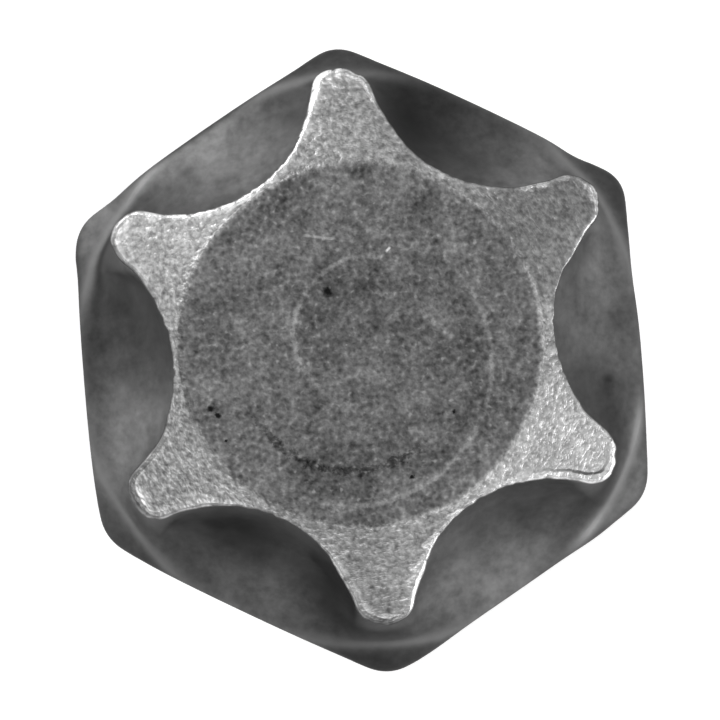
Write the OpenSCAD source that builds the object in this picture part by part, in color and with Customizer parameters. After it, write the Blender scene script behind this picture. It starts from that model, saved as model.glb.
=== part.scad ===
// Torx bit socket: a long six-lobe bit of hexagonal bar, clamped by a set screw in a square-drive holder.
// The drive face lies on z = 0 and the star-shaped end of the bit points up along +Z.

/* [Bit] */
// Distance across the flats of the bit
hex_af = 10; // [9.6:0.1:10.6]
// Diameter over the six rounded edges of the bit
hex_edge_d = 11.35; // [10.8:0.05:11.4]
// Length of the bit from its seat to its star-shaped end
bit_len = 86; // [50:1:180]
// Width of the bevel round the seated end of the bit
seat_bevel = 0.8; // [0.4:0.1:1.2]

/* [Star end] */
// Diameter over the six lobes
lobe_d = 8.83; // [8.5:0.01:9.1]
// Diameter between opposite valleys
valley_d = 5.98; // [5.9:0.01:6.4]
// Radius of the rounded top of a lobe
lobe_r = 0.47; // [0.35:0.01:0.6]
// Diameter of the plain end face
end_face_d = 5.7; // [4.5:0.05:5.8]
// Height of the turned bevel between the end face and the lobes
end_bevel_h = 0.5; // [0.2:0.05:0.9]
// Width of the broken edge round the tops of the lobes
lobe_edge = 0.1; // [0.05:0.01:0.2]
// Length over which lobes and valleys run parallel to the axis
lobe_len = 3; // [2:0.1:6]
// Step by which the bar stands out round the root of the lobes
root_step = 0.03; // [0.02:0.01:0.06]
// Radius in which a valley floor sweeps out to the flat
runout_r = 6.5; // [6:0.1:16]
// Diameter of the turned shoulder behind the lobes
shoulder_d = 10.2; // [10.05:0.05:10.6]
// Distance from the end face to the front edge of the shoulder
shoulder_at = 7.8; // [6:0.1:10]
// Slope of the turned ramp from the neck up to the shoulder
shoulder_angle = 20; // [16:1:60]
// Slope of the turned cone from the shoulder to the bar's edges
cone_angle = 33; // [12:1:45]

/* [Holder] */
// Outside diameter of the holder
holder_d = 17; // [16.4:0.1:20]
// Width of the square drive opening
drive_af = 9.6; // [9.55:0.01:9.7]
// Depth of the square drive opening
drive_depth = 11; // [9:0.5:14]
// Corner radius of the square drive opening
drive_corner_r = 0.8; // [0.4:0.1:1.2]
// Diameter of the round recesses for the driver's detent ball
detent_d = 4; // [3:0.1:5]
// Depth of the detent recesses in the four walls
detent_depth = 0.6; // [0.3:0.1:0.9]
// Thickness of the web that the bit seats on
web_t = 3; // [2:0.5:5]
// Diameter of the pilot hole through the web
pilot_d = 6; // [3:0.5:7]
// Depth of the hexagonal bore that takes the bit
bore_depth = 18; // [14:0.5:24]
// Clearance between a flat of the bit and its bore
bore_gap = 0.05; // [0.03:0.01:0.08]
// Width of the bevels at the two open ends
mouth_bevel = 0.5; // [0.3:0.1:0.8]
// Bevel round the drive face
foot_bevel = 0.6; // [0.3:0.1:1]
// Length of the tapered nose
nose_len = 4; // [2:0.5:6]
// Diameter of the nose at its front face
nose_d = 14.4; // [13.8:0.1:16]

/* [Grip band] */
// Height of the lower edge of the knurled band
knurl_at = 3; // [2:0.5:5]
// Length of the knurled band
knurl_len = 8; // [4:0.5:9]
// Number of grooves in the knurled band
knurl_count = 60; // [36:1:72]
// Depth of a knurl groove
knurl_depth = 0.32; // [0.15:0.01:0.4]
// Width of the turned relief grooves beside the band
relief_w = 0.8; // [0.5:0.1:1.2]

/* [Set screw] */
// Thread diameter of the set screw
screw_d = 4; // [3:0.5:4]
// Running clearance round the screw in its hole
screw_gap = 0.03; // [0.02:0.01:0.08]
// Distance from the nose's front face back to the screw's axis
screw_back = 9; // [7:0.5:11]
// How far the screw's outer end lies inside the holder's surface
screw_sink = 0.3; // [0.1:0.05:0.6]
// Width across flats of the hexagonal key socket
key_af = 2; // [1.5:0.1:2]
// Depth of the key socket
key_depth = 1.2; // [0.8:0.1:1.3]
// Diameter of the brass tip's head
tip_d = 2.8; // [2.2:0.1:2.9]
// Thickness of the brass tip's head
tip_t = 0.7; // [0.5:0.05:0.9]
// Diameter of the brass tip's stem
stem_d = 1.2; // [0.8:0.1:1.4]
// Length of the brass tip's stem
stem_len = 0.7; // [0.5:0.05:0.8]
// Gap between the brass tip and the flat that it presses on
tip_gap = 0.02; // [0.01:0.01:0.05]
// Width of the bevels at both ends of the screw
screw_bevel = 0.3; // [0.2:0.05:0.4]
// Width of the countersink round the screw's hole
hole_bevel = 0.2; // [0.1:0.05:0.4]

/* [Hidden] */
$fn = 96;

sides = 6;
pitch_angle = 360 / sides;
half_angle = pitch_angle / 2;
cut = 1; // how far a cutting shape runs past the surface that it opens
root_depth = 0.5; // how far the star-shaped bar reaches down into the bar below it

seat_z = drive_depth + web_t;
holder_len = seat_z + bore_depth;
end_z = seat_z + bit_len;
screw_z = holder_len - screw_back;

// A lobe's arc and a valley's arc touch on the line between their centres.
lobe_ring = lobe_d / 2 - lobe_r;
valley_r = valley_d / 2;
flute_r = (lobe_ring * lobe_ring + valley_r * valley_r - 2 * lobe_ring * valley_r * cos(half_angle)
    - lobe_r * lobe_r) / (2 * (lobe_ring * cos(half_angle) + lobe_r - valley_r));
flute_ring = valley_r + flute_r;
flute_bend = runout_r - flute_r;

bar_r = hex_af / 2 / cos(half_angle) + cut; // clear of the bar's edges
flat_x = hex_af / 2 + tip_gap;
screw_x = flat_x + tip_t;
screw_end_x = holder_d / 2 - screw_sink;
steel = "#5a5a5c";
chrome = "#b9bbbd";
blackened = "#3a3a3c";
brass = "#b08d4a";

function on_ring(r, a) = [r * cos(a), r * sin(a)];

// A hexagon with flats towards +X and -X, rounded over its six edges.
module rounded_hexagon(af, edge_d) {
    intersection() {
        polygon([for (i = [0 : sides - 1]) on_ring(af / 2 / cos(half_angle), half_angle + i * pitch_angle)]);
        circle(d = edge_d);
    }
}

// The six-lobe outline, with its lobes on the hexagon's edges.
module star_outline() {
    difference() {
        polygon([for (i = [0 : 2 * sides - 1])
            on_ring(i % 2 == 0 ? flute_ring : lobe_ring, i * half_angle)]);
        for (i = [0 : sides - 1])
            translate(on_ring(flute_ring, i * pitch_angle)) circle(flute_r);
    }
    for (i = [0 : sides - 1])
        translate(on_ring(lobe_ring, half_angle + i * pitch_angle)) circle(lobe_r);
}

// The end of the bit above the run-outs: a star-shaped bar turned to a bevelled end.
module star_end() {
    lobe_top = lobe_d / 2;
    edge_h = end_bevel_h + lobe_edge;
    length = lobe_len + root_depth;
    translate([0, 0, end_z - length])
        intersection() {
            linear_extrude(length) star_outline();
            rotate_extrude() polygon([
                [0, 0],
                [lobe_top + cut, 0],
                [lobe_top + cut, length - edge_h - cut],
                [lobe_top - lobe_edge, length - end_bevel_h],
                [end_face_d / 2, length],
                [0, length]
            ]);
        }
}

// The bar below the lobes, from the turned neck and shoulder down to the bevelled seat.
module bit_bar() {
    bar_len = bit_len - lobe_len;
    shoulder_z = bit_len - shoulder_at;
    neck_r = lobe_d / 2 + root_step;
    ramp_h = (shoulder_d / 2 - neck_r) / tan(shoulder_angle);
    cone_h = (bar_r - shoulder_d / 2) / tan(cone_angle);
    seat_r = hex_af / 2 - seat_bevel / 2;
    translate([0, 0, seat_z])
        intersection() {
            linear_extrude(bar_len) rounded_hexagon(hex_af, hex_edge_d);
            rotate_extrude() polygon([
                [0, 0],
                [seat_r, 0],
                [bar_r, bar_r - seat_r],
                [bar_r, shoulder_z - cone_h],
                [shoulder_d / 2, shoulder_z],
                [neck_r, shoulder_z + ramp_h],
                [neck_r, bar_len],
                [0, bar_len]
            ]);
        }
}

// One valley's run-out: the valley's round section swept outwards to the flat.
module runout_cutter() {
    translate([flute_ring + flute_bend, 0, end_z - lobe_len])
        rotate([-90, 0, 180])
            rotate_extrude(angle = 90) translate([flute_bend, 0]) circle(flute_r - root_step);
}

module star_bit() {
    color(steel) {
        star_end();
        difference() {
            bit_bar();
            for (i = [0 : sides - 1]) rotate(i * pitch_angle) runout_cutter();
        }
    }
}

// The turned outside of the holder, with relief grooves at both ends of the grip band.
module holder_blank() {
    r = holder_d / 2;
    groove_r = r - 1.5 * knurl_depth;
    knurl_top = knurl_at + knurl_len;
    rotate_extrude() polygon([
        [0, 0],
        [r - foot_bevel, 0],
        [r, foot_bevel],
        [r, knurl_at - relief_w],
        [groove_r, knurl_at - relief_w],
        [groove_r, knurl_at],
        [r, knurl_at],
        [r, knurl_top],
        [groove_r, knurl_top],
        [groove_r, knurl_top + relief_w],
        [r, knurl_top + relief_w],
        [r, holder_len - nose_len],
        [nose_d / 2, holder_len - mouth_bevel],
        [nose_d / 2 - mouth_bevel, holder_len],
        [0, holder_len]
    ]);
}

// One knurl groove: a square bar on its edge, as deep as the knurl.
module knurl_cutter() {
    side = knurl_depth * sqrt(2);
    translate([holder_d / 2, 0, knurl_at - relief_w / 2])
        rotate(45) translate([-side / 2, -side / 2]) cube([side, side, knurl_len + relief_w]);
}

// The square opening for the driver, with a round detent recess in each wall.
module drive_opening() {
    inner = drive_af - 2 * drive_corner_r;
    mouth_r = drive_af / sqrt(2) - drive_corner_r * (sqrt(2) - 1) + mouth_bevel;
    translate([0, 0, -cut])
        linear_extrude(drive_depth + cut) {
            square([drive_af, inner], center = true);
            square([inner, drive_af], center = true);
            for (i = [0 : 3])
                rotate(i * 90) translate([inner / 2, inner / 2]) circle(drive_corner_r);
        }
    cylinder(h = 2 * mouth_bevel, r1 = mouth_r, r2 = mouth_r - 2 * mouth_bevel);
    for (turn = [0, 90])
        rotate([90, 0, turn]) translate([0, drive_depth / 2])
            cylinder(h = drive_af + 2 * detent_depth, d = detent_d, center = true);
}

// The hexagonal bore, the bevel at its mouth and the pilot hole through the web.
module bit_bore() {
    corner_r = hex_edge_d / 2 + bore_gap;
    translate([0, 0, seat_z])
        linear_extrude(bore_depth + cut) rounded_hexagon(hex_af + 2 * bore_gap, 2 * corner_r);
    translate([0, 0, holder_len - 2 * mouth_bevel])
        cylinder(h = 2 * mouth_bevel, r1 = corner_r - mouth_bevel, r2 = corner_r + mouth_bevel);
    translate([0, 0, drive_depth - cut]) cylinder(h = web_t + 2 * cut, d = pilot_d);
}

// The screw's hole, countersunk below the lowest point of its rim on the round holder.
module screw_hole() {
    r = screw_d / 2;
    rim_x = sqrt(holder_d * holder_d / 4 - r * r);
    cylinder(h = holder_d, r = r);
    translate([0, 0, rim_x - 2 * hole_bevel])
        cylinder(h = 2 * hole_bevel + cut, r1 = r - hole_bevel, r2 = r + hole_bevel + cut);
}

module holder_body() {
    color(chrome)
        difference() {
            holder_blank();
            for (i = [0 : knurl_count - 1]) rotate(i * 360 / knurl_count) knurl_cutter();
            drive_opening();
            bit_bore();
            translate([0, 0, screw_z]) rotate([0, 90, 0]) screw_hole();
        }
}

// The set screw, with a key socket in its outer end and a blind hole for the tip's stem.
module set_screw() {
    length = screw_end_x - screw_x;
    r = screw_d / 2 - screw_gap;
    color(blackened)
        translate([screw_x, 0, screw_z]) rotate([0, 90, 0])
            difference() {
                rotate_extrude() polygon([
                    [0, 0],
                    [r - screw_bevel, 0],
                    [r, screw_bevel],
                    [r, length - screw_bevel],
                    [r - screw_bevel, length],
                    [0, length]
                ]);
                translate([0, 0, length - key_depth])
                    rotate(half_angle) cylinder(h = key_depth + cut, d = key_af / cos(half_angle), $fn = sides);
                translate([0, 0, -cut]) cylinder(h = stem_len + cut, d = stem_d + 2 * screw_gap);
            }
}

// The brass tip, whose stem turns in the end of the set screw.
module screw_tip() {
    color(brass)
        translate([flat_x, 0, screw_z]) rotate([0, 90, 0]) {
            cylinder(h = tip_t, d = tip_d);
            cylinder(h = tip_t + stem_len - screw_gap, d = stem_d);
        }
}

holder_body();
star_bit();
set_screw();
screw_tip();
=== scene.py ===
import math

import bpy
import numpy as np
from mathutils import Matrix, Vector


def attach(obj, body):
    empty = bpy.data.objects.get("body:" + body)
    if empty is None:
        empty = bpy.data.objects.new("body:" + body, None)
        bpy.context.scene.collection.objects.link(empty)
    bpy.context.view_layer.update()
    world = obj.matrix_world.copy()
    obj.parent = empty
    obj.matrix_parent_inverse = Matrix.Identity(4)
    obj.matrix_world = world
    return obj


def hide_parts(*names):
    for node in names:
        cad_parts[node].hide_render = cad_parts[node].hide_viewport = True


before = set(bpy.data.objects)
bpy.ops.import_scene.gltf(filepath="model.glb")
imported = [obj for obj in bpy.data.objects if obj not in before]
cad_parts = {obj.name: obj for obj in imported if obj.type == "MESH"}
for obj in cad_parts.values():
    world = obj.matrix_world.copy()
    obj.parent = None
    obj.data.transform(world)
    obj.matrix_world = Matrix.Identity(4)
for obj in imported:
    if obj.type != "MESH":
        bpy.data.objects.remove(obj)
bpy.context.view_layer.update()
mm = 0.001


# Bit: hexagonal alloy-steel bar, turned down behind a six-lobe end whose valleys run out into the flats.
# The bar is dark from its heat treatment. The end was parted off and its bevel turned last, so both are bare.
# It is wrapped from a grid, because the run-outs and the burr along the lobes are no plain sweep or bevel.

# Sizes in millimetres. Depths are taken from the star end.
end_z = 100.0
bit_len = 86.0
hex_af = 10.0
hex_edge_r = 0.7
lobe_d = 8.83
valley_d = 5.98
lobe_r = 0.47
lobe_len = 3.0
end_face_r = 2.843
end_face_at = (-0.064, 0.024)
end_bevel_slope = 0.5 / 1.465
shoulder_d = 10.2
shoulder_at = 7.8
cone_slope = math.tan(math.radians(33))
seat_bevel = 0.8

lobe_ring = lobe_d / 2 - lobe_r
valley_r = valley_d / 2
half_sixth = math.radians(30)
cos30 = math.cos(half_sixth)
flute_r = ((lobe_ring ** 2 + valley_r ** 2 - 2 * lobe_ring * valley_r * cos30 - lobe_r ** 2)
           / (2 * (lobe_ring * cos30 + lobe_r - valley_r)))
flute_ring = valley_r + flute_r

# Small faults of the lobes: place round the axis in degrees, spread in degrees, and how far the edge is off.
lobe_faults = [(20, 2.5, 0.1), (80, 4, 0.06), (86.5, 3, -0.05), (93, 3, 0.03), (97, 2.2, 0.1),
               (101.5, 2, 0.04), (148.5, 3, -0.06), (156.3, 2.2, -0.12), (199, 2, -0.06), (205, 2.4, 0.03),
               (208, 4, -0.04), (260, 2.5, 0.07), (269, 4, -0.03), (279.5, 3, 0.08), (333, 3, -0.07),
               (339, 3, -0.04)]
# Dents and sharper places of the bar's edges behind the shoulder, in the same way, and their depth and reach.
bar_faults = [(12.5, 5, -0.05), (30.3, 3, 0.045), (39.5, 2.5, -0.045), (91.5, 3.5, 0.038), (143.5, 4, -0.065),
              (155.5, 2, 0.03), (210.3, 5, -0.05), (278, 5, 0.055), (318, 4, 0.042)]
bar_fault_at, bar_fault_reach = 8.8, 1.2
# Burr thrown up along the star's edge: place and spread in degrees, and its strength.
burr_runs = [(118, 12, 0.7), (94, 4.5, 1.6), (101, 3, 0.2), (112, 3, 0.2), (138, 9, 0.5), (150, 5, 0.7),
             (84, 3, 0.4), (332, 5, 0.6), (321, 7, 0.8), (300, 12, 0.5), (279, 5, 0.9), (261, 6, 0.85),
             (215, 10, 0.75), (209, 5, 0.4), (30, 4, 0.35), (24, 4, 0.3), (40, 8, 0.35), (62, 8, 0.3),
             (180, 20, 0.15), (0, 18, 0.15)]
# How far a burr of strength 1 stands up and out, its greatest strength, and the radius of a clean edge.
burr_height, burr_out, burr_most = 0.014, 0.02, 2.4
clean_edge_r = 0.02
edge_wobble = 0.012
# Painted shadow in the crease where the burr is folded back on a lobe, as a dark line:
# place and spread in degrees, and its strength.
seam_runs = [(325, 4, 1.0), (269, 5, 0.9), (208, 7, 0.9), (153, 6, 0.6)]
# How far the painted shadow lies in from the edge, and where it lies further in or out.
seam_inset = 0.055
seam_shifts = [(325, 7, 0.055), (153, 9, -0.035)]
# Painted shade along the rim of the run-outs: place and spread in degrees, and its strength.
rim_shade_runs = [(112, 12, 0.9), (135, 10, 0.6), (152, 7, 0.8)]
rim_w, rim_at, rim_reach = 0.07, 8.1, 0.6
# Uneven colour of the heat treatment, with painted light and shade on the valleys, mostly darker near the
# star's edge
# and lighter further out: place in degrees, depth, their spreads, and how much lighter or darker.
clouds = [(115, 6.8, 9, 1.2, 0.43), (120, 5.9, 20, 0.6, 0.75), (75, 6.2, 9, 1.6, -0.93),
          (42, 6.8, 7, 1.2, 1.0), (12, 6.8, 12, 1.4, 0.7), (346, 6.8, 6, 1.2, -0.35),
          (317, 6.4, 8, 1.2, -0.3), (300, 7.4, 9, 0.55, 0.9), (286, 7.0, 7, 1.2, 0.75),
          (260, 5.8, 6, 1.3, -0.9), (240, 5.5, 10, 0.8, -0.5), (226, 5.6, 9, 1.0, -0.6),
          (240, 7.4, 10, 0.5, 0.9), (166, 6.2, 9, 1.4, -0.4), (196, 6.4, 9, 1.7, 1.7)]
specks = [(128.8, 7.2, 0.9, 0.1, -0.5), (350.3, 6.95, 0.9, 0.12, -0.5), (12.5, 6.5, 0.9, 0.12, -0.5),
          (258, 5.4, 2, 0.2, -0.7), (252.6, 5.35, 1.5, 0.15, -0.6), (229, 5.4, 2, 0.15, -0.5),
          (223.5, 5.8, 2, 0.2, -0.5)]
# Painted shade on the bar just beyond the lobes' tips.
shade_behind_lobes = [(150, 7.5, 9, 0.12, -0.8), (210, 7.1, 7, 0.25, -0.6), (270, 7.1, 7, 0.25, -0.6),
                (330, 7.1, 7, 0.25, -0.6)]
# Painted light and shade on the bar's corners and on the bevel, each at one depth: place, spread, how much.
corner_at, corner_reach = 8.5, 0.6
corner_light_and_shade = [(30, 13, -0.6), (89, 13, -0.1), (210, 13, -0.34), (272, 13, -0.5), (145, 10, 1.25),
                 (328, 12, 0.2)]
bevel_at, bevel_reach = 0.2, 0.8
bevel_light_and_shade = [(330, 12, 0.2), (30, 14, -0.4), (270, 14, -0.1), (210, 14, -0.1), (150, 14, -0.07)]
stains_and_painted_light = clouds + specks + shade_behind_lobes
stains_and_painted_light += [(place, corner_at, spread, corner_reach, change) for place, spread, change in corner_light_and_shade]
stains_and_painted_light += [(place, bevel_at, spread, bevel_reach, change) for place, spread, change in bevel_light_and_shade]
darkest = 0.06


def fold(angle):
    """The angle from the middle of the nearest valley."""
    sixth = math.pi / 3
    return np.abs((angle + sixth / 2) % sixth - sixth / 2)


def wave_noise(angle, seed, low, high):
    """Smooth noise round the axis, about -1 to 1, with waves from low to high per turn."""
    draw = np.random.default_rng(seed)
    counts = np.arange(low, high)
    size = draw.normal(size=len(counts)) / np.sqrt(counts)
    lag = draw.uniform(0, 2 * math.pi, len(counts))
    waves = (size[:, None] * np.cos(counts[:, None] * angle[None, :] + lag[:, None])).sum(0)
    return waves / (2 * np.std(waves))


def bumps(angle, places):
    """The sum of bell-shaped bumps round the axis."""
    degrees = np.degrees(angle)
    height_here = np.zeros_like(angle)
    for place, spread, height in places:
        off = (degrees - place + 180) % 360 - 180
        height_here += height * np.exp(-0.5 * (off / spread) ** 2)
    return height_here


def star_radius(angle):
    """The star's outline: the arcs of its valleys and lobes, up to where they touch."""
    off = fold(angle)
    valley = flute_ring * np.cos(off) - np.sqrt(np.maximum(flute_r ** 2 - (flute_ring * np.sin(off)) ** 2, 0))
    tip = half_sixth - off
    lobe = lobe_ring * np.cos(tip) + np.sqrt(np.maximum(lobe_r ** 2 - (lobe_ring * np.sin(tip)) ** 2, 0))
    touch = math.atan2(lobe_ring / 2 - lobe_r * lobe_ring / 2 / (flute_r + lobe_r),
                       lobe_ring * cos30 + lobe_r * (flute_ring - lobe_ring * cos30) / (flute_r + lobe_r))
    return np.where(off < touch, valley, lobe)


def bar_radius(angle, depth):
    """The bar below the lobes: valleys that sweep out to the shoulder, then its cone and the hexagon."""
    off = fold(angle)[:, None]
    down = depth[None, :]
    star = star_radius(angle)[:, None]
    sweep, rise = shoulder_at - lobe_len, (shoulder_d - valley_d) / 2
    runout_r = (sweep ** 2 + rise ** 2) / (2 * rise)
    share = (runout_r - np.sqrt(runout_r ** 2 - np.clip(down - lobe_len, 0, sweep) ** 2)) / rise
    flute = star + (shoulder_d / 2 - star) * share
    ring = (hex_af / 2 - hex_edge_r) / cos30
    edge = half_sixth - off
    rounded = ring * np.cos(edge) + np.sqrt(np.maximum(hex_edge_r ** 2 - (ring * np.sin(edge)) ** 2, 0))
    hexagon = np.where(off > math.atan2(ring / 2, hex_af / 2), rounded, hex_af / 2 / np.cos(off))
    cone = shoulder_d / 2 + (down - shoulder_at) * cone_slope
    return np.minimum(np.where(down < shoulder_at, flute, cone), hexagon)


def soften(table, axis, width, wrap):
    """A bell-shaped running average of the table along an axis, width in samples."""
    reach = int(3 * width) + 1
    weights = np.exp(-0.5 * (np.arange(-reach, reach + 1) / width) ** 2)
    weights /= weights.sum()
    if wrap:
        before, after = range(-reach, 0), range(reach)
    else:
        before, after = [0] * reach, [-1] * reach
    padded = np.concatenate([table.take(before, axis), table, table.take(after, axis)], axis)
    return np.apply_along_axis(lambda line: np.convolve(line, weights, "valid"), axis, padded)


def wrapped(name, rings, zones):
    """A skin of grid faces over rings of places, in millimetres, closed at two poles or where it began.

    Each zone is painted on it as one number per vertex, for the material to read.
    """
    places = np.array(rings)
    down, around = places.shape[:2]
    bpy.ops.object.select_all(action="DESELECT")
    bpy.ops.mesh.primitive_grid_add(x_subdivisions=around, y_subdivisions=down - 1, size=2)
    piece = bpy.context.object
    piece.name = name
    flat = np.empty(len(piece.data.vertices) * 3)
    piece.data.vertices.foreach_get("co", flat)
    flat = flat.reshape(-1, 3)
    column = np.rint((flat[:, 0] + 1) / 2 * around).astype(int) % around
    row = np.rint((flat[:, 1] + 1) / 2 * (down - 1)).astype(int)
    piece.data.vertices.foreach_set("co", (places[row, column] * mm).ravel())
    for zone, values in zones.items():
        painted = np.array(values)[row, column].astype(np.float32)
        piece.data.attributes.new(zone, "FLOAT", "POINT").data.foreach_set("value", painted)
    bpy.ops.object.mode_set(mode="EDIT")
    bpy.ops.mesh.select_all(action="SELECT")
    bpy.ops.mesh.remove_doubles(threshold=0.0001 * mm)
    bpy.ops.mesh.normals_make_consistent(inside=False)
    bpy.ops.object.mode_set(mode="OBJECT")
    bpy.ops.object.shade_smooth()
    return piece


# Columns lie evenly along the star's edge, so that the lobes and the bar's edges behind them are finest.
columns = 600
even = np.linspace(0, 2 * math.pi, 12 * columns + 1)
edge_line = star_radius(even)
steps = np.hypot(np.diff(edge_line * np.cos(even)), np.diff(edge_line * np.sin(even)))
run = np.concatenate([[0], np.cumsum(steps)])
turn = np.interp(np.arange(columns) / columns * run[-1], run, even)

burr = np.clip(bumps(turn, burr_runs) * (0.9 + 0.35 * wave_noise(turn, 3, 30, 200)), 0, burr_most)
burr_lift = burr_height * burr * (1 + 0.35 * wave_noise(turn, 7, 60, 240))
edge_r = soften(clean_edge_r + 0.045 * burr + 0.03 * burr ** 2, 0, 3.0, True)
faults = bumps(turn, lobe_faults)
star = (star_radius(turn) + faults + edge_wobble * wave_noise(turn, 5, 30, 140)
        + burr_out * np.minimum(burr, 1))
seam = np.minimum(bumps(turn, seam_runs), 1)
seam_at = seam_inset + bumps(turn, seam_shifts)

# The table of radii below the lobes' edge, with every corner rounded as wear and tumbling leave it.
table_step, table_end = 0.02, 12.0
fine = np.arange(0, table_end, table_step)
body = bar_radius(turn, fine) + faults[:, None] * np.clip(1 - fine / shoulder_at, 0, 1)
body += bumps(turn, bar_faults)[:, None] * np.exp(-0.5 * ((fine - bar_fault_at) / bar_fault_reach) ** 2)
body = soften(soften(body, 1, 4.0, False), 0, 1.6, True)

# The shoulder's brow is rubbed bright beside the lobes, as wear and as a painted highlight on its edge, and
# the bar's corners a little.
brow_w = 0.16
beside = np.clip((fold(turn)[:, None] - 0.1) / 0.2, 0.1, 1)
brow = np.exp(-((fine[None, :] - shoulder_at) / brow_w) ** 2) * beside
corner_w, corner_from, corner_fade = 0.05, 8.6, 0.6
on_corner = np.exp(-((half_sixth - fold(turn)) / corner_w) ** 2)[:, None]
corner = on_corner * np.clip((fine - corner_from) / corner_fade, 0, 1)
wear_table = np.clip(brow + 0.3 * corner, 0, 1)

rows = []
zones = {"burr": [], "bare": [], "wear": [], "tone_and_painted_light": [], "inset": [], "seam": [], "seam_at": []}


def stain_and_painted_light(depth, scale=0.0):
    """How much lighter or darker the steel is round the axis at a depth, from uneven colour and painted
    light, less painted rim shade.
    """
    level = np.ones(columns) - scale
    for place, at, spread, reach, change in stains_and_painted_light:
        level += bumps(turn, [(place, spread, change)]) * np.exp(-0.5 * ((depth - at) / reach) ** 2)
    return np.maximum(level, darkest)


def add_row(x, y, depth, **painted):
    """One ring of the skin, with what is painted on it. Inset is the distance in from the star's edge."""
    rows.append(np.stack([x, y, end_z - depth * np.ones(columns)], -1))
    painted["tone_and_painted_light"] = stain_and_painted_light(depth, painted.get("scale", 0.0))
    for zone, values in zones.items():
        values.append(painted.get(zone, 0.0) * np.ones(columns))


def add_round(radius, depth, **painted):
    """One ring of the skin round the bit's axis."""
    add_row(radius * np.cos(turn), radius * np.sin(turn), depth, **painted)


def bevel_depth(x, y):
    """The depth of the turned bevel at a place."""
    return np.maximum(np.hypot(x, y) - end_face_r, 0) * end_bevel_slope


def along_edge(values):
    """Values on the star's edge, filled in to four times as many places."""
    step = np.arange(4) / 4
    return (values[:, None] * (1 - step) + np.roll(values, -1)[:, None] * step).ravel()


# The parted-off face.
face_rings = 22
face_x, face_y = end_face_r * np.cos(turn), end_face_r * np.sin(turn)
for share in np.linspace(0, 1, face_rings) ** 0.8:
    add_row(face_x * share + end_face_at[0], face_y * share + end_face_at[1], 0.0, bare=1.0, inset=1.0)

# The turned bevel, from the face out to the star's edge, with the burr standing up along it.
bevel_rings = 26
edge_inset = 0.4 * edge_r
from_x, from_y = face_x + end_face_at[0], face_y + end_face_at[1]
star_x, star_y = star * np.cos(turn), star * np.sin(turn)
step_x, step_y = np.roll(star_x, -1) - np.roll(star_x, 1), np.roll(star_y, -1) - np.roll(star_y, 1)
out_x, out_y = step_y / np.hypot(step_x, step_y), -step_x / np.hypot(step_x, step_y)
to_x, to_y = star_x - edge_r * out_x, star_y - edge_r * out_y
edge_x, edge_y = along_edge(to_x), along_edge(to_y)
for share in np.linspace(0, 1, bevel_rings)[1:]:
    x, y = from_x + (to_x - from_x) * share, from_y + (to_y - from_y) * share
    apart = np.hypot(x[:, None] - edge_x, y[:, None] - edge_y)
    nearest = apart.argmin(1)
    near_burr = along_edge(burr)[nearest]
    inset = apart.min(1) + along_edge(edge_inset)[nearest]
    lift = along_edge(burr_lift)[nearest] * np.clip(1 - inset / (0.06 + 0.1 * near_burr), 0, 1)
    add_row(x, y, np.maximum(bevel_depth(x, y) - lift, 0), bare=1.0, burr=near_burr, inset=inset,
            seam=along_edge(seam)[nearest], seam_at=along_edge(seam_at)[nearest])

# The edge itself, rounded over the burr.
edge_rings = 9
top_depth = bevel_depth(to_x, to_y)
for share in np.linspace(0, 1, edge_rings)[1:]:
    swing = share * (math.pi / 2)
    lift = burr_lift * (1 - share)
    back = edge_r * (1 - math.sin(swing))
    depth = np.maximum(top_depth - lift + edge_r * (1 - math.cos(swing)), 0)
    add_row(star_x - back * out_x, star_y - back * out_y, depth, bare=max(1.0 - 1.6 * share, 0),
            burr=burr * (1 - share), inset=edge_inset * (1 - share), seam=seam, seam_at=seam_at)

# Down the valleys' walls, out through the run-outs and over the shoulder to the plain bar.
plain_sample = len(fine) - 10
plain, plain_wear = body[:, plain_sample], wear_table[:, plain_sample]
rim_shade = bumps(turn, rim_shade_runs)
blend_from, blend_len = 0.75, 0.8
edge_gap = 0.02
wall_depths = np.concatenate([np.linspace(0.76, 3, 9), np.linspace(3.1, 6.4, 26), np.linspace(6.46, 9, 43),
                              np.linspace(9.1, 9.9, 7), np.linspace(10.4, 11.8, 3)])
for depth in wall_depths:
    sample = int(round(depth / table_step))
    here = body[:, sample]
    blend = np.clip((depth - blend_from) / blend_len, 0, 1)
    # Painted shade on the run-outs' rim, where they reach the plain bar, goes to the row as its scale.
    scale = rim_shade * np.exp(-((plain - here) / rim_w) ** 2 - 0.5 * ((depth - rim_at) / rim_reach) ** 2)
    # The rubbed brightness is dimmed where the steel is painted darker, as painted shade.
    wear = wear_table[:, sample] * np.clip(stain_and_painted_light(depth), 0.3, 1)
    below_edge = np.maximum(depth, top_depth + edge_r + edge_gap)
    add_round(star * (1 - blend) + here * blend, below_edge, wear=wear, scale=scale)
for depth in np.linspace(14, bit_len - seat_bevel, 12):
    add_round(plain, depth, wear=plain_wear)

# The bevelled end that stands on the holder's seat.
seat_r = hex_af / 2 - seat_bevel / 2
for share in np.linspace(0, 1, 5)[1:]:
    left = seat_bevel * (1 - share)
    add_round(np.minimum(plain, seat_r + left), bit_len - left, wear=0.3)
for share in (0.8, 0.5, 0.2, 0.0):
    add_round(seat_r * share, bit_len)
star_bit = wrapped("star_bit_dressed", rows, zones)


def grey(level):
    """A plain grey."""
    return (level, level, level, 1.0)


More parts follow.
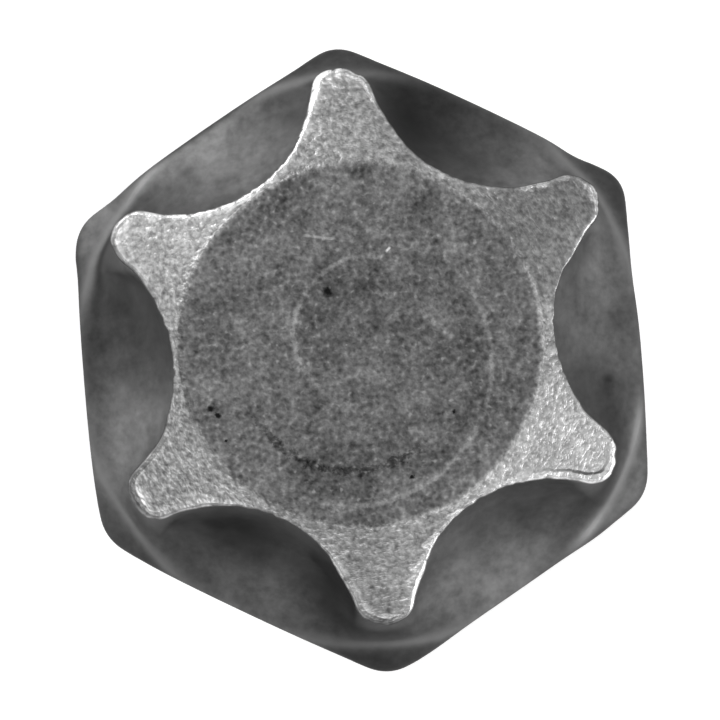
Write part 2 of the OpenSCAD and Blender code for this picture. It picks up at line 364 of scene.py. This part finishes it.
class Finish:
    """A new material, and the shader nodes that are wired into it."""

    def __init__(self, name):
        self.material = bpy.data.materials.new(name)
        self.material.use_nodes = True
        self.tree = self.material.node_tree
        self.place = self.node("TexCoord", {}).outputs["Object"]

    def feed(self, socket, value):
        """Links a socket to a node's output, or sets it."""
        if isinstance(value, bpy.types.NodeSocket):
            self.tree.links.new(value, socket)
        else:
            socket.default_value = value

    def node(self, kind, inputs, **settings):
        """A shader node with its settings and inputs."""
        made = self.tree.nodes.new("ShaderNode" + kind)
        for name, value in settings.items():
            setattr(made, name, value)
        for name, value in inputs.items():
            self.feed(made.inputs[name], value)
        return made

    def give(self, name, value):
        """Links or sets an input of the metal's own shader."""
        self.feed(self.tree.nodes["Principled BSDF"].inputs[name], value)

    def painted(self, name):
        """A number that is painted on the piece's vertices."""
        return self.node("Attribute", {}, attribute_name=name).outputs["Fac"]

    def maths(self, operation, a, b=0.0, clamp=False):
        """One step of reckoning."""
        return self.node("Math", {0: a, 1: b}, operation=operation, use_clamp=clamp).outputs[0]

    def times(self, *values):
        """The product of the values."""
        result = values[0]
        for value in values[1:]:
            result = self.maths("MULTIPLY", result, value)
        return result

    def total(self, *values):
        """The sum of the values."""
        result = values[0]
        for value in values[1:]:
            result = self.maths("ADD", result, value)
        return result

    def centred(self, value, amount):
        """Noise about nothing, times an amount."""
        return self.times(self.maths("SUBTRACT", value, 0.5), amount)

    def ramp(self, value, low, high, to_low=0.0, to_high=1.0, shape="SMOOTHSTEP"):
        """The value eased from to_low at low to to_high at high."""
        ends = {"From Min": low, "From Max": high, "To Min": to_low, "To Max": to_high}
        return self.node("MapRange", {"Value": value, **ends}, interpolation_type=shape).outputs["Result"]

    def noise(self, place, scale, detail, roughness, distortion=0.0):
        """Cloudy noise from 0 to 1, with scale spots to a metre."""
        kind = {"Scale": scale, "Detail": detail, "Roughness": roughness, "Distortion": distortion}
        return self.node("TexNoise", {"Vector": place, **kind}).outputs["Fac"]

    def mix_colour(self, factor, a, b):
        """Colour a where the factor is 0 and b where it is 1."""
        return self.node("Mix", {0: factor, 6: a, 7: b}, data_type="RGBA").outputs[2]

    def mix_value(self, factor, a, b):
        """Number a where the factor is 0 and b where it is 1."""
        return self.node("Mix", {0: factor, 2: a, 3: b}, data_type="FLOAT").outputs[0]

    def neutral(self, level):
        """A grey of a level that varies."""
        return self.node("CombineColor", {0: level, 1: level, 2: level}).outputs["Color"]

    def roughen(self, height, strength, distance):
        """Fine bumps of a height, with the metres that a height of 1 stands for."""
        bump = self.node("Bump", {"Height": height, "Strength": strength, "Distance": distance})
        self.give("Normal", bump.outputs["Normal"])


steel = Finish("bare_and_dark_steel")
xyz = steel.node("SeparateXYZ", {"Vector": steel.place})
bare = steel.painted("bare")
burr_here = steel.painted("burr")
wear_here = steel.painted("wear")
inset_here = steel.painted("inset")
seam_here = steel.painted("seam")
seam_place = steel.painted("seam_at")
tone_and_painted_light = steel.painted("tone_and_painted_light")


def distance_from(x, y):
    """Distance from a line parallel to the axis, in metres."""
    dx = steel.maths("SUBTRACT", xyz.outputs["X"], x * mm)
    dy = steel.maths("SUBTRACT", xyz.outputs["Y"], y * mm)
    return steel.maths("SQRT", steel.total(steel.times(dx, dx), steel.times(dy, dy)))


def along(bearing, x=0.0, y=0.0):
    """Distance from the axis, or from a place beside it, towards a bearing, in metres."""
    a = math.radians(bearing)
    part_x = steel.times(steel.maths("SUBTRACT", xyz.outputs["X"], x * mm), math.cos(a))
    part_y = steel.times(steel.maths("SUBTRACT", xyz.outputs["Y"], y * mm), math.sin(a))
    return steel.total(part_x, part_y)


def near_ring(distance, radius, width):
    """One on a ring and fading to nothing at its width on either side, in millimetres."""
    gap = steel.maths("ABSOLUTE", steel.maths("SUBTRACT", distance, radius * mm))
    return steel.ramp(gap, 0.15 * width * mm, width * mm, 1, 0)


def streak(x, y, bearing, core_w, edge_w, core_len, edge_len):
    """A straight mark along a bearing, full in its core and gone at its edge, in millimetres."""
    beside_it = steel.maths("ABSOLUTE", along(bearing + 90, x, y))
    ahead = steel.maths("ABSOLUTE", along(bearing, x, y))
    return steel.times(steel.ramp(beside_it, core_w * mm, edge_w * mm, 1, 0),
                       steel.ramp(ahead, core_len * mm, edge_len * mm, 1, 0))


def seen_grey(tone_here, middle, gain):
    """A grey that brightens evenly to the eye as its tone goes up."""
    seen_level = steel.total(middle, steel.times(tone_here, gain))
    return steel.neutral(steel.maths("POWER", seen_level, 2.2, clamp=True))


grain = steel.noise(steel.place, 9000, 1.5, 0.5)
mottle = steel.noise(steel.place, 1500, 3, 1.0)
cloud = steel.noise(steel.place, 650, 3, 0.5)
speckle = steel.noise(steel.place, 16000, 1, 0.5)
crumb = steel.noise(steel.place, 11500, 1.5, 0.5)
spark = steel.ramp(steel.noise(steel.place, 12000, 0, 0.5), 0.68, 0.85)
ragged = steel.centred(steel.noise(steel.place, 7000, 3, 0.8), 0.3 * mm)

# The parted-off face is a rough, dark grey disc with an uneven rim.
from_face = steel.total(distance_from(*end_face_at), steel.times(ragged, 0.5))
near_end = steel.ramp(xyz.outputs["Z"], (end_z - 1.5) * mm, (end_z - 1.0) * mm)
rim_fade = 0.07
on_disc = steel.ramp(from_face, (end_face_r - rim_fade) * mm, (end_face_r + rim_fade) * mm, 1, 0)
face = steel.times(on_disc, near_end)
# The face is painted a little lighter towards the left, as painted light.
left_light = steel.ramp(along(165), 0.4 * mm, 2.2 * mm)
face_tone = steel.total(steel.centred(cloud, 0.5), steel.centred(mottle, 1.45), steel.centred(crumb, 0.85),
                        steel.centred(speckle, 0.38), steel.times(left_light, 0.05))

# Two tool steps lie off its middle, each round a darker ring, and a torn dark line follows the outer one.
# The steps are not modelled: their rings are painted light and shade, each shown towards one side only.
# Each has a radius and a width, a bearing that it fades in along, and how much lighter or darker it is.
outer_at, inner_at = (-0.237, -0.264), (0.116, 0.208)
from_outer = steel.total(distance_from(*outer_at), steel.times(ragged, 0.35))
from_inner = steel.total(distance_from(*inner_at), steel.times(ragged, 0.6))
torn_outer = steel.total(from_outer, ragged)
for distance, radius, width, towards, start, full, change in (
        (from_outer, 2.218, 0.06, along(318), -0.2, 1.4, 0.22),
        (from_outer, 1.93, 0.3, along(310), -0.4, 1.6, -0.13),
        (torn_outer, 1.68, 0.08, along(258), 1.0, 1.6, -0.32),
        (from_inner, 1.187, 0.06, along(160, *inner_at), -0.4, 0.8, 0.27),
        (from_inner, 0.85, 0.45, along(170, *inner_at), -0.6, 0.6, -0.155)):
    shown = steel.ramp(towards, start * mm, full * mm)
    face_tone = steel.total(face_tone, steel.times(near_ring(distance, radius, width), shown, change))
face_colour = seen_grey(face_tone, 0.49, 0.45)
# Bright sparkles of the grain are painted on as glints.
face_colour = steel.mix_colour(steel.times(spark, 0.3), face_colour, grey(0.7))

# Pits in the face: place and size in millimetres.
pits = [(-0.48, 0.9, 0.09), (-2.47, -0.79, 0.07), (-2.36, -0.9, 0.05), (0.584, -2.104, 0.035),
        (1.32, -1.13, 0.035), (-2.26, -1.3, 0.025)]
for pit_x, pit_y, pit_r in pits:
    pit_gap = steel.total(distance_from(pit_x, pit_y), steel.times(ragged, 0.45))
    pit = steel.ramp(pit_gap, 0.3 * pit_r * mm, 1.3 * pit_r * mm, 0.95, 0)
    face_colour = steel.mix_colour(pit, face_colour, grey(0.004))
# A scratch across the face, and one bright fleck.
scratch = streak(-0.562, 1.752, -11.7, 0.008, 0.03, 0.2, 0.27)
fleck = streak(0.504, 1.475, 44, 0.005, 0.03, 0.02, 0.07)
marks = steel.maths("MAXIMUM", steel.times(scratch, 0.33), fleck)
face_colour = steel.mix_colour(marks, face_colour, grey(0.9))

# The bevel keeps the fine rings of the turning tool.
about = steel.maths("ARCTAN2", xyz.outputs["Y"], xyz.outputs["X"])
ring_r = steel.times(distance_from(0, 0), 1 / mm)
ring_place = steel.node("CombineXYZ", {"X": ring_r, "Y": steel.times(about, 1.6)}).outputs["Vector"]
rings = steel.noise(ring_place, 9, 3, 0.7, 0.4)
bevel_tone = steel.total(steel.centred(rings, 0.5), steel.centred(grain, 0.35), steel.centred(crumb, 0.85),
                         steel.centred(mottle, 0.5), steel.centred(cloud, 0.35), steel.centred(speckle, 0.65))
bevel_colour = seen_grey(bevel_tone, 0.75, 0.62)
# Each lobe's bevel is painted darker or lighter by the painted light and shade in the tone.
bevel_colour = steel.mix_colour(steel.ramp(tone_and_painted_light, 0.3, 1.0, 0.7, 0.0, "LINEAR"), bevel_colour, grey(0.08))
bevel_colour = steel.mix_colour(steel.ramp(tone_and_painted_light, 1.0, 1.6, 0.0, 0.5, "LINEAR"), bevel_colour, grey(0.98))

# The bar is dark and smooth, cloudy from the heat treatment, with painted light and shade over it from the
# tone, and rubbed bright along its edges, which along the shoulder's brow is also a painted highlight.
# Its spots are drawn out along the axis, as the bar was.
drawn = steel.node("Mapping", {"Vector": steel.place, "Scale": (1.0, 1.0, 0.3)}).outputs["Vector"]
blotch = steel.total(1.0, steel.centred(steel.noise(drawn, 1900, 3, 0.6), 1.1),
                     steel.centred(steel.noise(drawn, 6500, 2, 0.6), 0.8))
bar_level = steel.times(steel.ramp(cloud, 0.25, 0.75, 0.057, 0.098), blotch, tone_and_painted_light)
bar_level = steel.mix_value(steel.times(wear_here, 0.5), bar_level, 0.3)
colour = steel.mix_colour(bare, steel.neutral(bar_level), bevel_colour)
colour = steel.mix_colour(face, colour, face_colour)

# The burr is torn and painted near white, as bare metal and as a painted highlight on the edge.
# A painted shadow runs along it as a dark line where it is folded back.
burr_width = steel.total(steel.times(burr_here, 0.11), 0.008, steel.times(seam_here, 0.09))
torn = steel.times(steel.centred(steel.noise(steel.place, 4200, 2, 0.6), 0.35), burr_here)
torn_inset = steel.total(inset_here, steel.centred(speckle, 0.1), steel.centred(grain, 0.16), torn)
burr_gap = steel.maths("DIVIDE", torn_inset, burr_width)
burr_zone = steel.times(steel.ramp(burr_gap, 0.2, 1.3, 1, 0), steel.ramp(burr_here, 0.1, 0.5))
burr_and_highlight_mask = steel.times(burr_zone, steel.ramp(steel.noise(steel.place, 6500, 2, 0.6), 0.36, 0.54, 0.45, 1))
colour = steel.mix_colour(burr_and_highlight_mask, colour, grey(0.98))
# The painted shadow in the burr's crease is a near-black line at its given distance in from the edge.
inside_seam = steel.maths("SUBTRACT", steel.total(inset_here, steel.centred(grain, 0.05)), seam_place)
outside_seam = steel.times(inside_seam, -1.0, steel.ramp(seam_place, 0.07, 0.09))
seam_gap = steel.maths("MAXIMUM", inside_seam, outside_seam)
seam_mask = steel.maths("MULTIPLY", steel.ramp(seam_gap, 0.012, 0.034, 1, 0), seam_here, clamp=True)
colour = steel.mix_colour(steel.times(seam_mask, 0.85), colour, grey(0.03))
steel.give("Base Color", colour)

rough = steel.mix_value(bare, steel.ramp(cloud, 0.3, 0.7, 0.36, 0.46), 0.45)
rough = steel.mix_value(face, rough, 0.62)
steel.give("Roughness", steel.mix_value(burr_and_highlight_mask, rough, 0.42))
steel.give("Metallic", 0.85)
steel.give("Specular IOR Level", 0.15)
# The dark scale doesn't brighten at a grazing angle as bare metal does.
steel.give("Specular Tint", steel.mix_colour(bare, grey(0.55), grey(1.0)))
off_face = steel.ramp(from_face, (end_face_r - 0.3) * mm, (end_face_r + 0.2) * mm)
face_height = steel.times(steel.total(steel.centred(mottle, 0.6), grain, steel.centred(speckle, 0.5)), 4.0)
bevel_height = steel.times(steel.total(steel.times(rings, 0.8), steel.centred(crumb, 0.5),
                                       steel.centred(speckle, 0.3)), 2.0)
height = steel.times(steel.mix_value(off_face, face_height, bevel_height), bare)
steel.roughen(steel.total(height, steel.times(burr_zone, grain, 1.5)), 0.6, 0.02 * mm)
star_bit.data.materials.append(steel.material)
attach(star_bit, "bit")
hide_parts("star_bit")


# Holder: a turned steel socket, broached square below and hexagonal above, with a knurled band to grip.
# It is satin chromed outside, and its openings stay dull and dark. A web between them seats the bit.
holder_r = 8.5
holder_top = 32.0
foot_bevel = 0.6
nose_r = 7.2
nose_at = 28.0
mouth_bevel = 0.5
knurl_at, knurl_top = 3.0, 11.0
knurl_count, knurl_depth, groove_flat = 60, 0.32, 0.03
relief_w = 0.8
relief_r = holder_r - 1.5 * knurl_depth
bore_af, bore_corner_r = 10.1, 5.725
seat_z, drive_depth = 14.0, 11.0
pilot_r = 3.0
drive_af, drive_corner_r = 9.6, 0.8
drive_mouth_r = drive_af / math.sqrt(2) - drive_corner_r * (math.sqrt(2) - 1) + mouth_bevel
detent_d, detent_depth = 4.0, 0.6
screw_z = 23.0


def eased(points):
    """A line of (radius, height, ease) points with each corner rounded over its ease."""
    line = []
    for i, (r, z, ease) in enumerate(points):
        here = Vector((r, z))
        if ease == 0:
            line.append(here)
            continue
        back = (Vector(points[i - 1][:2]) - here).normalized() * ease
        on = (Vector(points[i + 1][:2]) - here).normalized() * ease
        for t in (0, 0.25, 0.5, 0.75, 1):
            line.append(here + back * (1 - t) ** 2 + on * t ** 2)
    return line


holder_columns = 600
swing = np.arange(holder_columns) / holder_columns * 2 * math.pi
groove_pitch = 2 * math.pi * holder_r / knurl_count
from_groove = np.abs((swing * knurl_count / (2 * math.pi) + 0.5) % 1 - 0.5) * groove_pitch
groove = np.clip(knurl_depth - from_groove, 0, knurl_depth - groove_flat)
bore = np.minimum(bore_af / 2 / np.cos(fold(swing)), bore_corner_r)
quarter = np.abs((swing + math.pi / 4) % (math.pi / 2) - math.pi / 4)
from_corner = math.pi / 4 - quarter
drive_ring = (drive_af / 2 - drive_corner_r) * math.sqrt(2)
drive_round = (drive_ring * np.cos(from_corner)
               + np.sqrt(np.maximum(drive_corner_r ** 2 - (drive_ring * np.sin(from_corner)) ** 2, 0)))
drive = np.where(quarter > math.atan2(drive_af / 2 - drive_corner_r, drive_af / 2), drive_round,
                 drive_af / 2 / np.cos(quarter))
holder_rows, hollow = [], []


def add_holder_row(radius, z, inside=0.0):
    """One ring of the holder's skin, and how far it is from the polished outside, from 0 to 1."""
    radius = radius * np.ones(holder_columns)
    ring = [radius * np.cos(swing), radius * np.sin(swing), z * np.ones(holder_columns)]
    holder_rows.append(np.stack(ring, -1))
    hollow.append(inside * np.ones(holder_columns))


outside = [(drive_mouth_r, 0, 0), (holder_r - foot_bevel, 0, 0.12), (holder_r, foot_bevel, 0.12),
           (holder_r, knurl_at - relief_w, 0.1), (relief_r, knurl_at - relief_w, 0.06),
           (relief_r, knurl_at, 0.06), (holder_r, knurl_at, 0.08), (holder_r, knurl_top, 0.08),
           (relief_r, knurl_top, 0.06), (relief_r, knurl_top + relief_w, 0.06),
           (holder_r, knurl_top + relief_w, 0.1), (holder_r, nose_at, 0.5),
           (nose_r, holder_top - mouth_bevel, 0.12), (nose_r - mouth_bevel, holder_top, 0.12),
           (bore_corner_r + mouth_bevel, holder_top, 0)]
# The knurl's grooves and the relief grooves are painted darker and duller, the deeper they lie.
for r, z in eased(outside):
    cut = groove if knurl_at - 0.001 < z < knurl_top + 0.001 else 0 * groove
    in_band = abs(z - (knurl_at + knurl_top) / 2) < (knurl_top - knurl_at) / 2 + relief_w + 0.01
    sunk = 0.5 * (holder_r - r) / (holder_r - relief_r) if in_band else 0.0
    add_holder_row(np.minimum(r, holder_r - cut), z, np.maximum(cut / knurl_depth, sunk))
for down in np.linspace(0, 2 * mouth_bevel, 8):
    mouth = np.maximum(bore, bore_corner_r + mouth_bevel - down)
    add_holder_row(mouth, holder_top - down, 0.4 * down / mouth_bevel)
for z in (30.5, *range(29, 14, -2), seat_z):
    add_holder_row(bore, z, 1.0)
for share in (0.35, 0.7, 1.0):
    add_holder_row(bore + (pilot_r - bore) * share, seat_z, 1.0)
for z in (13, 12, drive_depth):
    add_holder_row(pilot_r, z, 1.0)
for share in (0.35, 0.7, 1.0):
    add_holder_row(pilot_r + (drive - pilot_r) * share, drive_depth, 1.0)
for z in (*range(10, 1, -1), 1.4):
    add_holder_row(drive, z, 1.0)
for z in np.linspace(2 * mouth_bevel, 0, 8):
    add_holder_row(np.maximum(drive, drive_mouth_r - z), z, 0.4 * z / mouth_bevel)
holder = wrapped("holder_body_dressed", holder_rows, {"hollow": hollow})


def bored(piece, cutter):
    """Takes a cutter out of a piece."""
    taken = piece.modifiers.new("bored", "BOOLEAN")
    taken.operation = "DIFFERENCE"
    taken.solver = "EXACT"
    taken.object = cutter
    bpy.ops.object.select_all(action="DESELECT")
    piece.select_set(True)
    bpy.context.view_layer.objects.active = piece
    bpy.ops.object.modifier_apply(modifier=taken.name)
    bpy.data.objects.remove(cutter)


def turned_across(name, line, count):
    """A solid turned round the set screw's axis, from points of radius and distance out from the holder's."""
    bearing = np.arange(count) / count * 2 * math.pi
    rings = []
    for r, x in line:
        rings.append(np.stack([x * np.ones(count), r * np.cos(bearing), screw_z + r * np.sin(bearing)], -1))
    return wrapped(name, rings, {})


# The detent recesses are sunk into the drive opening's walls in pairs, and the screw hole has a bevelled rim.
for tilt in ((math.pi / 2, 0, 0), (0, math.pi / 2, 0)):
    bpy.ops.object.select_all(action="DESELECT")
    bpy.ops.mesh.primitive_cylinder_add(vertices=64, radius=detent_d / 2 * mm,
                                        depth=(drive_af + 2 * detent_depth) * mm,
                                        location=(0, 0, drive_depth / 2 * mm), rotation=tilt)
    bored(holder, bpy.context.object)
hole_r, hole_bevel, hole_from = 2.0, 0.2, 3.5
rim_x = math.sqrt(holder_r ** 2 - hole_r ** 2)
hole_line = [(0, hole_from), (hole_r, hole_from), (hole_r, rim_x - hole_bevel),
             (hole_r + hole_bevel + 1, rim_x + 1), (0, rim_x + 1)]
bored(holder, turned_across("hole_cutter", hole_line, 72))
bpy.ops.object.shade_smooth_by_angle(angle=math.radians(28))

# The new walls of the recesses and of the hole are as dull as the openings that they lead into.
dull_from, dull_to = 1.2, 30.8
for spot, value in zip(holder.data.vertices, holder.data.attributes["hollow"].data):
    if math.hypot(spot.co.x, spot.co.y) < drive_mouth_r * mm and dull_from * mm < spot.co.z < dull_to * mm:
        value.value = 1.0

chrome = Finish("satin_chrome")
hollow_here = chrome.painted("hollow")
turned_place = chrome.node("Mapping", {"Vector": chrome.place, "Scale": (90.0, 90.0, 9000.0)})
lines = chrome.noise(turned_place.outputs["Vector"], 1.0, 4, 0.6)
smudge = chrome.noise(chrome.place, 260, 4, 0.6)
scuff = chrome.ramp(chrome.noise(chrome.place, 2600, 3, 0.7), 0.6, 0.75)
plated = chrome.mix_colour(chrome.ramp(smudge, 0.35, 0.65), grey(0.46), grey(0.55))
plated = chrome.mix_colour(chrome.times(scuff, 0.25), plated, grey(0.34))
chrome.give("Base Color", chrome.mix_colour(chrome.times(hollow_here, 0.75), plated, grey(0.16)))
polish = chrome.total(chrome.ramp(smudge, 0.3, 0.7, 0.2, 0.3), chrome.times(lines, 0.08))
chrome.give("Roughness", chrome.mix_value(hollow_here, polish, 0.45))
chrome.give("Metallic", 1.0)
chrome.roughen(lines, 0.25, 0.006 * mm)
holder.data.materials.clear()
holder.data.materials.append(chrome.material)
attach(holder, "holder")
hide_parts("holder_body")


# Tip: a turned brass pad that presses on the bit, soft enough not to mark it.
# Its stem turns in the blind hole of the set screw, so that the pad itself stands still.
tip_line = [(0, 5.02), (0.7, 5.02), (1.24, 5.02), (1.32, 5.035), (1.38, 5.08), (1.4, 5.16), (1.4, 5.4),
            (1.4, 5.6), (1.385, 5.66), (1.34, 5.7), (1.28, 5.715), (0.9, 5.72), (0.62, 5.72), (0.6, 5.74),
            (0.6, 6.0), (0.6, 6.3), (0.57, 6.36), (0.5, 6.39), (0.25, 6.39), (0, 6.39)]
tip = turned_across("screw_tip_dressed", tip_line, 72)
bpy.ops.object.shade_smooth_by_angle(angle=math.radians(35))

brass = Finish("turned_brass")
tarnish = brass.noise(brass.place, 1500, 4, 0.6)
bright_brass, dull_brass = (0.62, 0.43, 0.16, 1), (0.42, 0.28, 0.1, 1)
brass.give("Base Color", brass.mix_colour(brass.ramp(tarnish, 0.35, 0.7), bright_brass, dull_brass))
brass.give("Roughness", brass.ramp(tarnish, 0.3, 0.7, 0.24, 0.4))
brass.give("Metallic", 1.0)
tip.data.materials.append(brass.material)
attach(tip, "tip")
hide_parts("screw_tip")


# Set screw: a headless M4 screw of hardened steel in black oxide, which clamps the bit in the holder.
# Its thread is cut, with a hexagonal key socket broached outside and a blind hole inside for the tip's stem.
screw_r, thread_depth, thread_pitch = 1.97, 0.38, 0.7
screw_in_x, screw_out_x = 5.72, 8.2
screw_bevel = 0.3
key_af, key_depth = 2.0, 1.2
stem_hole_r, stem_depth, stem_bevel = 0.63, 0.7, 0.04
screw_columns = 120
bearing = np.arange(screw_columns) / screw_columns * 2 * math.pi
key = key_af / 2 / np.cos(fold(bearing))
screw_rows, shine = [], []


def add_screw_row(radius, x, worn=0.0):
    """One ring of the screw's skin, and how far its oxide is worn off, from 0 to 1."""
    radius = radius * np.ones(screw_columns)
    ring = [x * np.ones(screw_columns), radius * np.cos(bearing), screw_z + radius * np.sin(bearing)]
    screw_rows.append(np.stack(ring, -1))
    shine.append(worn * np.ones(screw_columns))


add_screw_row(0, screw_in_x + stem_depth)
add_screw_row(stem_hole_r, screw_in_x + stem_depth)
add_screw_row(stem_hole_r, screw_in_x + stem_bevel)
add_screw_row(stem_hole_r + stem_bevel, screw_in_x)
for x in np.linspace(screw_in_x, screw_out_x, 100):
    from_end = min(x - screw_in_x, screw_out_x - x)
    crest = np.abs((x / thread_pitch - bearing / (2 * math.pi)) % 1 - 0.5) * 2
    thread = screw_r - thread_depth * np.clip((crest - 0.12) / 0.76, 0, 1)
    bevelled = screw_r - screw_bevel + from_end
    add_screw_row(np.minimum(thread, bevelled), x, np.clip(1 - (crest - 0.1) / 0.15, 0, 1) * 0.6)
for radius, sunk, worn in ((1.3, 0, 0), (key + 0.06, 0, 0.4), (key + 0.02, 0.015, 0.6), (key, 0.05, 0.4),
                           (key, key_depth / 2, 0), (key, key_depth, 0), (0.5, key_depth + 0.05, 0),
                           (0, key_depth + 0.1, 0)):
    add_screw_row(radius, screw_out_x - sunk, worn)
screw = wrapped("set_screw_dressed", screw_rows, {"shine": shine})
bpy.ops.object.shade_smooth_by_angle(angle=math.radians(30))

oxide = Finish("black_oxide")
oily = oxide.noise(oxide.place, 1800, 4, 0.6)
black = oxide.mix_colour(oxide.ramp(oily, 0.35, 0.65), grey(0.018), grey(0.04))
rubbed = oxide.times(oxide.painted("shine"), oxide.ramp(oily, 0.4, 0.6))
oxide.give("Base Color", oxide.mix_colour(rubbed, black, grey(0.22)))
oxide.give("Roughness", oxide.ramp(oily, 0.3, 0.7, 0.3, 0.5))
oxide.give("Metallic", 0.7)
screw.data.materials.append(oxide.material)
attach(screw, "screw")
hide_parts("set_screw")


# Floor: a plain sheet of white paper that the holder stands on, made as one large flat face.
# It is bright to the eye and to reflections, and keeps a faint, soft shadow.
bpy.ops.object.select_all(action="DESELECT")
bpy.ops.mesh.primitive_plane_add(size=40)
floor = bpy.context.object
floor.name = "floor"
paper = Finish("white_paper")
paper.tree.nodes.remove(paper.tree.nodes["Principled BSDF"])
ray = paper.node("LightPath", {})
mirrored = paper.maths("MAXIMUM", ray.outputs["Is Glossy Ray"], ray.outputs["Is Transmission Ray"])
seen = paper.maths("MAXIMUM", ray.outputs["Is Camera Ray"], mirrored)
away = paper.node("VectorMath", {0: paper.place}, operation="LENGTH").outputs["Value"]
bright = paper.ramp(away, 0.05, 0.7, 0.45, 0.72)
strength = paper.total(paper.times(seen, bright), paper.times(ray.outputs["Is Camera Ray"], 0.09))
matt = paper.node("BsdfDiffuse", {"Color": grey(0.82)})
glow = paper.node("Emission", {"Color": grey(1.0), "Strength": strength})
both = paper.node("AddShader", {0: matt.outputs[0], 1: glow.outputs[0]})
paper.feed(paper.tree.nodes["Material Output"].inputs["Surface"], both.outputs[0])
floor.data.materials.append(paper.material)


# Light: an even pale room with three large soft lamps that face the star end.
# Two equal ones stand low, at the picture's upper left and lower right, and a weaker one is overhead.
room = bpy.data.worlds.new("room")
bpy.context.scene.world = room
room.use_nodes = True
room.node_tree.nodes["Background"].inputs["Color"].default_value = grey(1.0)
room.node_tree.nodes["Background"].inputs["Strength"].default_value = 0.3
lamp_gap = 0.5


def soft_lamp(name, bearing, rise, size, power):
    """A square lamp on a bearing round the axis, rise degrees up, that faces the star end."""
    a, e = math.radians(bearing), math.radians(rise)
    way = Vector((math.cos(a) * math.cos(e), math.sin(a) * math.cos(e), math.sin(e)))
    bpy.ops.object.light_add(type="AREA", location=Vector((0, 0, end_z * mm)) + way * lamp_gap)
    lamp = bpy.context.object
    lamp.name = name
    lamp.rotation_euler = way.to_track_quat("Z", "Y").to_euler()
    lamp.data.size = size
    lamp.data.energy = power


soft_lamp("left_lamp", 128, 9, 0.28, 1.4)
soft_lamp("right_lamp", 332, 9, 0.28, 1.4)
soft_lamp("top_lamp", 180, 82, 0.3, 0.7)


# Camera: close above the star end, as a macro lens on a stand.
# Its place and turn follow from where the tip and the axis's vanishing point lie in the picture, in pixels.
picture_px = 720
sensor_mm = 36
lens_px = 3405.7
tip_px = (363.718, 345.888)
vanish_px = (351.841, 446.654)
lens_gap = 53.198 * mm
roll = math.radians(4.73)
middle_px = picture_px / 2
axis_seen = Vector((middle_px - vanish_px[0], vanish_px[1] - middle_px, lens_px)).normalized()
across = Vector((math.cos(roll), math.sin(roll), 0))
across = (across - across.dot(axis_seen) * axis_seen).normalized()
turned_to = Matrix((across, axis_seen.cross(across), axis_seen))
tip_seen = Vector(((tip_px[0] - middle_px) / lens_px, (middle_px - tip_px[1]) / lens_px, -1)) * lens_gap
lens_at = Vector((0, 0, end_z * mm)) - turned_to @ tip_seen
bpy.ops.object.camera_add()
camera = bpy.context.object
camera.data.sensor_width = sensor_mm
camera.data.lens = lens_px / picture_px * sensor_mm
camera.data.clip_start = 0.001
camera.matrix_world = Matrix.Translation(lens_at) @ turned_to.to_4x4()
bpy.context.scene.camera = camera
bpy.context.scene.view_settings.view_transform = "Standard"
